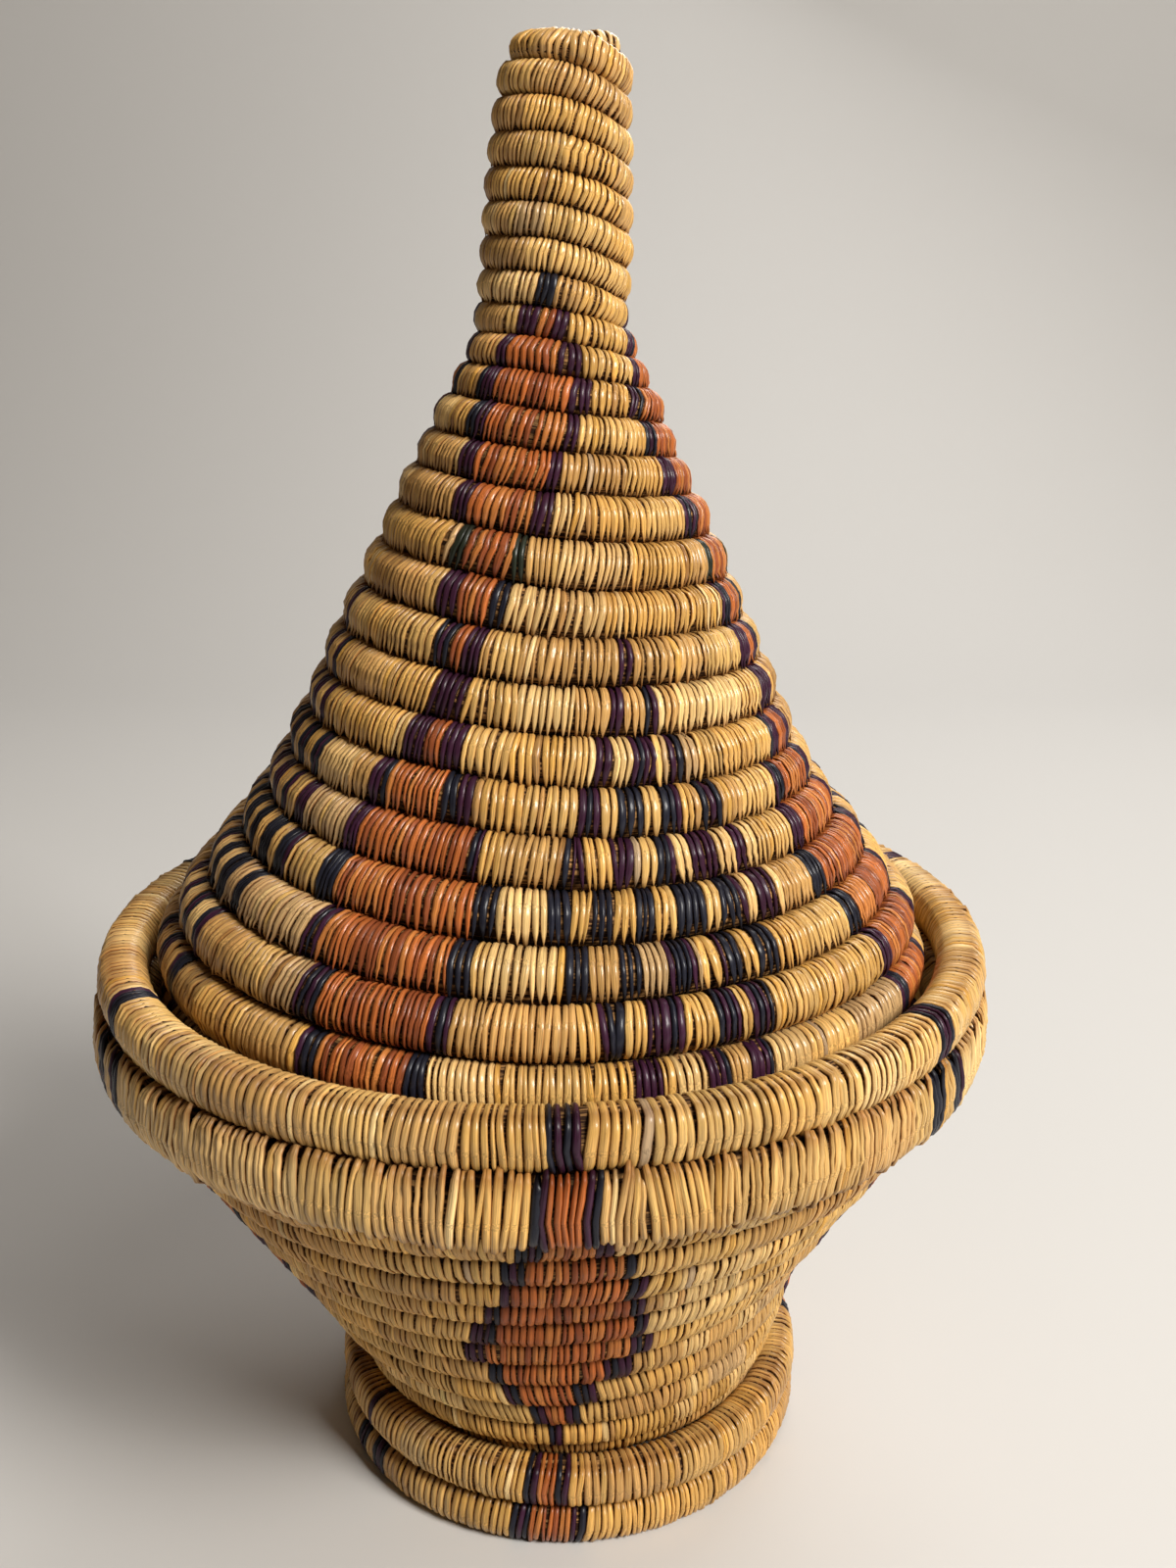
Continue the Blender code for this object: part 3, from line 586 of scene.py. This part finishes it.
def stripMesh(coil, rows):
    # One mesh of closed bands, each wrapped once round the coil
    across, full = np.array(stripShape["across"]), np.array(wraps["round"])
    count, stations, sides = len(rows["turn"]), len(full), len(across) + 2
    path = full + (rows["path"] - full) * rows["narrow"][:, None, None]
    path[..., 0] = np.where(path[..., 0] > 0, np.abs(path[..., 0]) ** rows["square"][:, None], path[..., 0])
    tips = np.maximum(np.abs(path[..., 1]) - stripShape["tipFrom"], 0) * (path[..., 0] > stripShape["tipOut"])
    path[..., 1] += np.sign(path[..., 1]) * tips * (rows["reach"][:, None] - 1)
    look = sectionAt(coil, rows["turn"])
    crown = rows["crown"]
    wide = np.maximum(look["half"] * winding["acrossShare"] - crown - rows["sink"], crown)
    tall = np.maximum(look["half"] * look["flat"] + gaps["course"] / 2 - crown * stripShape["sunk"], crown)
    out = path[..., 0] * wide[:, None] * (1 + rows["kink"])
    on, width = path[..., 1] * tall[:, None], path[..., 2]
    flowOut, flowOn = (np.roll(a, -1, axis=1) - np.roll(a, 1, axis=1) for a in (out, on))
    length = np.hypot(flowOut, flowOn) + 1e-9
    normalOut, normalOn = flowOn / length, -flowOut / length
    steps = np.hypot(np.diff(out, axis=1, prepend=out[:, :1]), np.diff(on, axis=1, prepend=on[:, :1]))
    walked = np.cumsum(steps, axis=1)
    # Height over the path at each place across the strip, then the two edges of its underside
    rise = crown[:, None] * (1 - np.abs(across) ** stripShape["edgePower"])
    rise[:, 2:5] -= rows["crease"] * stripShape["crease"]
    rise += rows["tilt"][:, None] * across
    rise = np.concatenate([rise, np.full((count, 2), -stripShape["under"])], axis=1)
    place = np.concatenate([across, [stripShape["underEdge"], -stripShape["underEdge"]]])
    lean = rows["slant"][:, None] * on + rows["bow"][:, None] * 2 * (1 - np.abs(path[..., 1]))
    offset = (rows["halfWidth"][:, None, None] * width[..., None] * place
              + (lean / rows["perTurn"][:, None])[..., None])
    least = stripShape["leastRise"]
    lifted = rise[:, None, :] * (least + (1 - least) * width[..., None])
    points = spotAt(coil, rows["turn"][:, None, None] + offset,
                    out[..., None] + normalOut[..., None] * lifted,
                    on[..., None] + normalOn[..., None] * lifted)
    index = np.arange(count * stations * sides).reshape(count, stations, sides)
    onward, besides = np.roll(index, -1, axis=1), np.roll(index, -1, axis=2)
    faces = np.stack([index, besides, np.roll(besides, -1, axis=1), onward], axis=-1).reshape(-1, 4)
    strand = np.stack(np.broadcast_arrays(place[None, None], walked[..., None] * strandScale,
                                          rows["seed"][:, None, None]), axis=-1)
    # Painted shade mask: where the strip turns down into the groove between rows, stored as one minus it in
    # the tint's alpha
    groove = np.clip((np.abs(path[..., 1]) - stripShape["grooveFrom"]) / stripShape["grooveOver"], 0, 1)
    groove = groove * (path[..., 0] > 0) * look["open"][:, None]
    tint = np.empty((count, stations, sides, 4))
    tint[..., :3] = rows["colour"][:, None, None]
    tint[..., 3] = 1 - groove[..., None]
    return points.reshape(-1, 3), faces, strand.reshape(-1, 3), tint.reshape(-1, 4)


def corePoints(coil, first, last, crown):
    # The bundle of fibre inside the strips, as a closed tube
    steps, sides = max(bundle["leastSteps"], round((last - first) * bundle["steps"])), bundle["sides"]
    turns = np.linspace(first + bundle["trim"], last - bundle["trim"], steps + 1)
    angles = np.arange(sides) / sides * math.tau
    look = sectionAt(coil, turns)
    wide = np.maximum(look["half"] * winding["acrossShare"] - crown * bundle["under"], crown / 2)
    tall = np.maximum(look["half"] * look["flat"] - crown * bundle["beside"], crown / 2)
    ridge = look["half"] + gaps["course"] * bundle["ridge"] - tall
    if coil is coils["rim"]:
        ridge = ridge + rimShape["seal"] * (turns < rimShape["to"])
    out = wide[:, None] * np.cos(angles)
    on = np.sin(angles) * (tall[:, None] + ridge[:, None] * np.abs(np.sin(angles)) ** bundle["ridgePower"])
    points = spotAt(coil, np.broadcast_to(turns[:, None], out.shape), out, on)
    index = np.arange((steps + 1) * sides).reshape(steps + 1, sides)
    besides = np.roll(index, -1, axis=1)
    faces = np.stack([index[:-1], besides[:-1], besides[1:], index[1:]], axis=-1).reshape(-1, 4)
    length = np.concatenate([[0], np.cumsum(math.tau * look["centre"][1:, 0] * np.diff(turns))])
    strand = np.stack(np.broadcast_arrays(angles / math.tau * bundle["girth"], length[:, None] * strandScale,
                                          first), axis=-1)
    return points.reshape(-1, 3), faces, [index[0][::-1], index[-1]], strand.reshape(-1, 3)


def addPiece(name, points, faces, caps, strand, tint, material):
    data = bpy.data.meshes.new(name)
    loops = np.concatenate([faces.ravel()] + [np.array(c) for c in caps])
    sizes = np.concatenate([np.full(len(faces), 4)] + [[len(c)] for c in caps]).astype(int)
    data.vertices.add(len(points))
    data.vertices.foreach_set("co", points.astype(np.float32).ravel())
    data.loops.add(len(loops))
    data.loops.foreach_set("vertex_index", loops.astype(np.int32))
    data.polygons.add(len(sizes))
    data.polygons.foreach_set("loop_start", np.concatenate([[0], np.cumsum(sizes)[:-1]]).astype(np.int32))
    data.polygons.foreach_set("loop_total", sizes.astype(np.int32))
    data.update(calc_edges=True)
    layer = data.attributes.new("strand", "FLOAT_VECTOR", "POINT")
    layer.data.foreach_set("vector", strand.astype(np.float32).ravel())
    if tint is not None:
        layer = data.attributes.new("tint", "FLOAT_COLOR", "POINT")
        layer.data.foreach_set("color", tint.astype(np.float32).ravel())
    data.validate()
    data.materials.append(material)
    data.shade_smooth()
    item = bpy.data.objects.new(name, data)
    bpy.context.collection.objects.link(item)
    return item


def signedVolume(points, faces):
    # A closed mesh's volume times six, below zero where its faces look inward
    a, b, c, d = (points[faces[:, i]] for i in range(4))
    return np.einsum("ij,ij->i", a, np.cross(b, c)).sum() + np.einsum("ij,ij->i", a, np.cross(c, d)).sum()


# Shared effects as node groups

def newGroup(name, inputs, outputs):
    group = bpy.data.node_groups.new(name, "ShaderNodeTree")
    for way, sockets in (("INPUT", inputs), ("OUTPUT", outputs)):
        for label, kind in sockets.items():
            group.interface.new_socket(name=label, in_out=way, socket_type="NodeSocket" + kind)
    return group, group.nodes.new("NodeGroupInput"), group.nodes.new("NodeGroupOutput")


def addNode(tree, kind, links=(), **settings):
    # Each link is a socket of the node with another node's output or a value of its own
    node = tree.nodes.new(kind)
    for key, value in settings.items():
        setattr(node, key, value)
    for socket, source in links:
        if hasattr(source, "is_output"):
            tree.links.new(source, node.inputs[socket])
        else:
            node.inputs[socket].default_value = source
    return node


def mathNode(tree, operation, *values, clamp=False):
    return addNode(tree, "ShaderNodeMath", enumerate(values), operation=operation, use_clamp=clamp).outputs[0]


def multiplied(tree, factor, a, b):
    return addNode(tree, "ShaderNodeMix", [(0, factor), (6, a), (7, b)], data_type="RGBA",
                   blend_type="MULTIPLY").outputs[2]


def noiseNode(tree, place, scale, detail, rough=0.5):
    return addNode(tree, "ShaderNodeTexNoise", [("Vector", place), ("Scale", scale), ("Detail", detail),
                                                ("Roughness", rough)]).outputs[0]


def rangeNode(tree, value, first, last, low=0.0, high=1.0):
    return addNode(tree, "ShaderNodeMapRange", enumerate((value, first, last, low, high))).outputs[0]


def addBump(tree, shader, strength, distance, height):
    bump = addNode(tree, "ShaderNodeBump", [("Strength", strength), ("Distance", distance),
                                            ("Height", height)])
    tree.links.new(bump.outputs[0], shader.inputs["Normal"])


# Streaks, grain and flecks of a strip, with how often they come across it and along it
fibreLook = {"shift": 57.0, "streak": (3.2, 0.55), "streakDetail": 3.0, "streakRough": 0.6,
             "grain": (7.0, 2.2), "grainDetail": 2.0, "fleck": (0.9, 1.6), "fleckSize": 0.075,
             "edgePower": 6.0, "streakBump": 0.75, "grainBump": 0.35}


def fibreGroup():
    # Lengthwise streaks, fine grain and flecks of one strip, and the mask of its edges where shade between
    # strips is painted, from its strand coordinates
    labels = ("Streak", "Grain", "Edge", "Fleck", "Height")
    group, given, result = newGroup("stripFibre", {"Strand": "Vector"}, dict.fromkeys(labels, "Float"))
    across, along, seed = addNode(group, "ShaderNodeSeparateXYZ", [(0, given.outputs["Strand"])]).outputs
    shifted = mathNode(group, "MULTIPLY", seed, fibreLook["shift"])

    def placeOf(key):
        scales = zip((across, along), fibreLook[key])
        scaled = [mathNode(group, "MULTIPLY", way, scale) for way, scale in scales]
        return addNode(group, "ShaderNodeCombineXYZ", enumerate(scaled + [shifted])).outputs[0]
    streak = noiseNode(group, placeOf("streak"), 1.0, fibreLook["streakDetail"], fibreLook["streakRough"])
    grain = noiseNode(group, placeOf("grain"), 1.0, fibreLook["grainDetail"])
    cells = addNode(group, "ShaderNodeTexVoronoi", [("Vector", placeOf("fleck")), ("Scale", 1.0)])
    fleck = mathNode(group, "LESS_THAN", cells.outputs["Distance"], fibreLook["fleckSize"])
    # Edge mask for painted shade: darker towards the strip's sides, where it meets its neighbours
    edge = mathNode(group, "POWER", mathNode(group, "ABSOLUTE", across, clamp=True), fibreLook["edgePower"])
    height = mathNode(group, "ADD", mathNode(group, "MULTIPLY", streak, fibreLook["streakBump"]),
                      mathNode(group, "MULTIPLY", grain, fibreLook["grainBump"]))
    for label, value in zip(labels, (streak, grain, edge, fleck, height)):
        group.links.new(value, result.inputs[label])
    return group


wearLook = {"scale": 14.0, "detail": 4.0, "from": 0.45, "to": 0.7, "colour": (0.55, 0.36, 0.20, 1)}


def wearGroup():
    # Slow stains over the whole basket
    group, given, result = newGroup("handledWear", {"Colour": "Color", "Stain": "Float"}, {"Colour": "Color"})
    place = addNode(group, "ShaderNodeTexCoord").outputs["Object"]
    slow = noiseNode(group, place, wearLook["scale"], wearLook["detail"])
    patch = rangeNode(group, slow, wearLook["from"], wearLook["to"])
    amount = mathNode(group, "MULTIPLY", patch, given.outputs["Stain"])
    colour = multiplied(group, amount, given.outputs["Colour"], wearLook["colour"])
    group.links.new(colour, result.inputs["Colour"])
    return group


fibre, wear = fibreGroup(), wearGroup()
# What every reed has: ranges that its streaks, grain and coat are mapped from and to, the painted shade colour
# for its edges and grooves and the colour of its flecks, and bump
surface = {"streaks": (0.32, 0.68, 0.52, 1.28), "grain": (0.3, 0.7), "coat": (0.02, 0.3, 0.45, 1.0),
           "edge": 0.9, "paintedShade": (0.24, 0.075, 0.014, 1), "fleck": 0.55, "fleckColour": (0.30, 0.20, 0.12, 1),
           "coatRough": 0.2, "bumpDistance": 0.0004}
reedLooks = {       # roughness low and high, sheen, polish of the ridges, bump, stain, painted shade of the grooves
    "straw": {"rough": (0.30, 0.54), "sheen": 0.08, "polish": 0.18, "bump": 0.5, "stain": 0.32,
              "groove": 0.65},
    "golden_straw": {"rough": (0.28, 0.5), "sheen": 0.15, "polish": 0.55, "bump": 0.5, "stain": 0.38,
                     "groove": 0.65},
    "pale_straw": {"rough": (0.28, 0.5), "sheen": 0.15, "polish": 0.5, "bump": 0.55, "stain": 0.24,
                   "groove": 0.6},
}
coreLook = {"scale": (9.0, 0.9, 5.0), "detail": 3.0, "stops": ((0.47, (0.022, 0.008, 0.003, 1)),
                                                               (0.66, (0.40, 0.21, 0.075, 1))),
            "rough": 0.8, "sheen": 0.15, "bump": 0.6, "bumpDistance": 0.0005}


def newMaterial(name):
    material = bpy.data.materials.new(name)
    material.use_nodes = True
    tree = material.node_tree
    return material, tree, tree.nodes["Principled BSDF"]


def reedMaterial(name, look):
    material, tree, shader = newMaterial("reed_" + name)
    painted = addNode(tree, "ShaderNodeAttribute", attribute_name="tint").outputs
    strand = addNode(tree, "ShaderNodeAttribute", attribute_name="strand").outputs["Vector"]
    detail = addNode(tree, "ShaderNodeGroup", [("Strand", strand)], node_tree=fibre).outputs
    streak = rangeNode(tree, detail["Streak"], *surface["streaks"])
    shade = addNode(tree, "ShaderNodeCombineColor", [(0, streak), (1, streak), (2, streak)]).outputs[0]
    colour = multiplied(tree, 1.0, painted["Color"], shade)
    groove = mathNode(tree, "SUBTRACT", 1.0, painted["Alpha"])
    # Painted shade: the strip's edges and the parts that dip into the groove between rows are mixed towards a
    # dark brown in place of the shade that falls there; the flecks are the reed's own marks
    for mask, amount, darker in ((detail["Edge"], surface["edge"], surface["paintedShade"]),
                                 (groove, look["groove"], surface["paintedShade"]),
                                 (detail["Fleck"], surface["fleck"], surface["fleckColour"])):
        colour = multiplied(tree, mathNode(tree, "MULTIPLY", mask, amount), colour, darker)
    worn = addNode(tree, "ShaderNodeGroup", [("Colour", colour), ("Stain", look["stain"])], node_tree=wear)
    tree.links.new(worn.outputs["Colour"], shader.inputs["Base Color"])
    rough = rangeNode(tree, detail["Grain"], *surface["grain"], *look["rough"])
    tree.links.new(rough, shader.inputs["Roughness"])
    ridge = mathNode(tree, "MULTIPLY", mathNode(tree, "SUBTRACT", 1.0, detail["Edge"]), painted["Alpha"])
    ridge = mathNode(tree, "MULTIPLY", ridge, rangeNode(tree, painted["Color"], *surface["coat"]))
    tree.links.new(mathNode(tree, "MULTIPLY", ridge, look["polish"]), shader.inputs["Coat Weight"])
    shader.inputs["Specular IOR Level"].default_value = look["sheen"]
    shader.inputs["Coat Roughness"].default_value = surface["coatRough"]
    addBump(tree, shader, look["bump"], surface["bumpDistance"], detail["Height"])
    return material


def coreMaterial():
    material, tree, shader = newMaterial("bundle_fibre")
    strand = addNode(tree, "ShaderNodeAttribute", attribute_name="strand").outputs["Vector"]
    place = addNode(tree, "ShaderNodeMapping", [("Vector", strand), ("Scale", coreLook["scale"])]).outputs[0]
    noise = noiseNode(tree, place, 1.0, coreLook["detail"])
    ramp = addNode(tree, "ShaderNodeValToRGB", [(0, noise)])
    for stop, look in zip(ramp.color_ramp.elements, coreLook["stops"]):
        stop.position, stop.color = look
    tree.links.new(ramp.outputs[0], shader.inputs["Base Color"])
    shader.inputs["Roughness"].default_value = coreLook["rough"]
    shader.inputs["Specular IOR Level"].default_value = coreLook["sheen"]
    addBump(tree, shader, coreLook["bump"], coreLook["bumpDistance"], noise)
    return material


reeds = {name: reedMaterial(name, look) for name, look in reedLooks.items()}
core = coreMaterial()
slots = {"foot": "pale_straw", "body": "straw", "rim": "pale_straw", "lid": "golden_straw"}

# Strips and bundle of every node
seeds = {"foot": 11, "body": 23, "rim": 37, "lid": 51}
total = 0
for name, coil in coils.items():
    rows = layStrips(name, coil, np.random.default_rng(seeds[name]))
    rider = "lid" if name == "lid" else "base"
    for node, first, last in zip(coil["nodes"], coil["splits"], coil["splits"][1:]):
        chosen = (rows["turn"] >= first) & (rows["turn"] < last)
        points, faces, strand, tint = stripMesh(coil, {key: values[chosen] for key, values in rows.items()})
        if signedVolume(points, faces) < 0:
            faces = faces[:, ::-1]
        piece = addPiece(node + "_strips", points, faces, [], strand, tint, reeds[slots[name]])
        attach(piece, rider)
        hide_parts(node)
        points, faces, caps, strand = corePoints(coil, first, last, strips[name]["crown"])
        if signedVolume(points, faces) < 0:
            faces, caps = faces[:, ::-1], [c[::-1] for c in caps]
        piece = addPiece(node + "_bundle", points, faces, caps, strand, None, core)
        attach(piece, rider)
        total += chosen.sum()
    print(name, "has", len(rows["turn"]), "strips in", len(coil["nodes"]), "pieces")
print("strips laid:", total)

# Floor and backdrop, one sheet that sweeps up behind
backdrop = {"width": 6.0, "front": -3.0, "back": 2.2, "bend": 0.9, "top": 3.2, "steps": 14,
            "colour": (0.585, 0.58, 0.57, 1), "rough": 0.7}
profile = [(backdrop["front"], 0.0), (backdrop["back"] - backdrop["bend"], 0.0)]
for i in range(1, backdrop["steps"] + 1):
    t = math.pi / 2 * i / backdrop["steps"]
    profile.append((backdrop["back"] - backdrop["bend"] * (1 - math.sin(t)),
                    backdrop["bend"] * (1 - math.cos(t))))
profile.append((backdrop["back"], backdrop["top"]))
sheet = bpy.data.meshes.new("floor")
corners = [(side * backdrop["width"] / 2, y, z) for y, z in profile for side in (-1, 1)]
sheet.from_pydata(corners, [], [(2 * i, 2 * i + 1, 2 * i + 3, 2 * i + 2) for i in range(len(profile) - 1)])
sheet.shade_smooth()
floor = bpy.data.objects.new("floor", sheet)
bpy.context.collection.objects.link(floor)
floorMaterial, tree, shader = newMaterial("pale_floor")
shader.inputs["Base Color"].default_value = backdrop["colour"]
shader.inputs["Roughness"].default_value = backdrop["rough"]
sheet.materials.append(floorMaterial)

# Light and camera
lights = {
    "key": {"from": (1.65, -1.44, 1.95), "at": (0, 0, 0.22), "power": 106, "size": 0.9,
            "colour": (1.0, 0.96, 0.90)},
    "fill": {"from": (-1.9, -1.4, 1.0), "at": (0, 0, 0.2), "power": 0.7, "size": 1.6,
             "colour": (1.0, 0.80, 0.60)},
    "top": {"from": (0.9, -0.6, 2.2), "at": (0, 0, 0.2), "power": 9, "size": 1.2,
            "colour": (1.0, 0.97, 0.92)},
    "back": {"from": (0.6, 1.5, 1.7), "at": (0, 0, 0.3), "power": 20, "size": 1.2,
             "colour": (1.0, 0.98, 0.95)},
}
sky = {"colour": (1.0, 0.68, 0.40, 1), "strength": 0.065}
view = {"place": (0.0172, -0.5200, 0.4220), "pitch": 16.52, "lens": 32.6, "sensor": 36, "near": 0.01}
for name, light in lights.items():
    data = bpy.data.lights.new(name, "AREA")
    data.energy, data.size, data.color = light["power"], light["size"], light["colour"]
    lamp = bpy.data.objects.new(name, data)
    lamp.location = light["from"]
    lamp.rotation_euler = (Vector(light["at"]) - Vector(light["from"])).to_track_quat("-Z", "Y").to_euler()
    bpy.context.collection.objects.link(lamp)
world = bpy.data.worlds.new("studio")
world.use_nodes = True
background = world.node_tree.nodes["Background"]
background.inputs[0].default_value = sky["colour"]
background.inputs[1].default_value = sky["strength"]
bpy.context.scene.world = world
cameraData = bpy.data.cameras.new("camera")
cameraData.sensor_fit, cameraData.sensor_height, cameraData.lens = "VERTICAL", view["sensor"], view["lens"]
cameraData.clip_start = view["near"]
camera = bpy.data.objects.new("camera", cameraData)
camera.location = view["place"]
camera.rotation_euler = (math.radians(90 - view["pitch"]), 0, 0)
bpy.context.collection.objects.link(camera)
bpy.context.scene.camera = camera
bpy.context.scene.view_settings.view_transform = "Standard"
